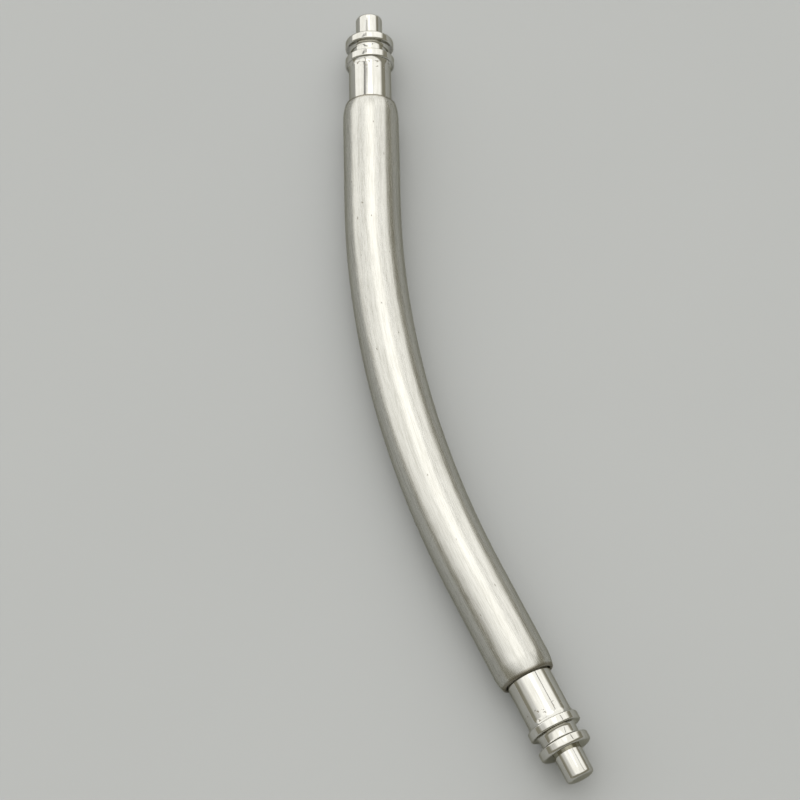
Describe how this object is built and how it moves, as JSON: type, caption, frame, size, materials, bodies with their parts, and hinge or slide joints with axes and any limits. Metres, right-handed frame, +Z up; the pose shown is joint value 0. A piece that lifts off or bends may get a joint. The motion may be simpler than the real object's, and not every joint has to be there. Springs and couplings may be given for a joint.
{
  "type": "spring bar",
  "caption": "Curved spring bar with a bent tube and a spring-loaded double-shoulder plunger at each end, lying on its side.",
  "frame": {"origin": "middle of the footprint, on the surface that the tube lies on", "axes": "+X along the chord of the bend towards the right end, +Y to the outside of the bend, +Z up from the surface"},
  "size_m": [0.0266, 0.0036, 0.0018],
  "materials": {
    "tube": "satin stainless steel, brushed along the bar",
    "plunger": "polished, turned stainless steel",
    "spring": "bright drawn spring wire"
  },
  "bodies": {
    "barrel": {"tube": "tube", "spring": "spring"},
    "left_end": {"left_plunger": "plunger"},
    "right_end": {"right_plunger": "plunger"}
  },
  "joints": [
    {"name": "left_plunger_slide", "type": "slide", "parent": "barrel", "child": "left_end", "axis": [0.9763, 0.2164, 0], "range_m": [0, 0.0013], "stiffness_N_per_m": 500, "deforming": ["spring"]},
    {"name": "right_plunger_slide", "type": "slide", "parent": "barrel", "child": "right_end", "axis": [-0.9763, 0.2164, 0], "range_m": [0, 0.0013], "stiffness_N_per_m": 500, "deforming": ["spring"]}
  ]
}
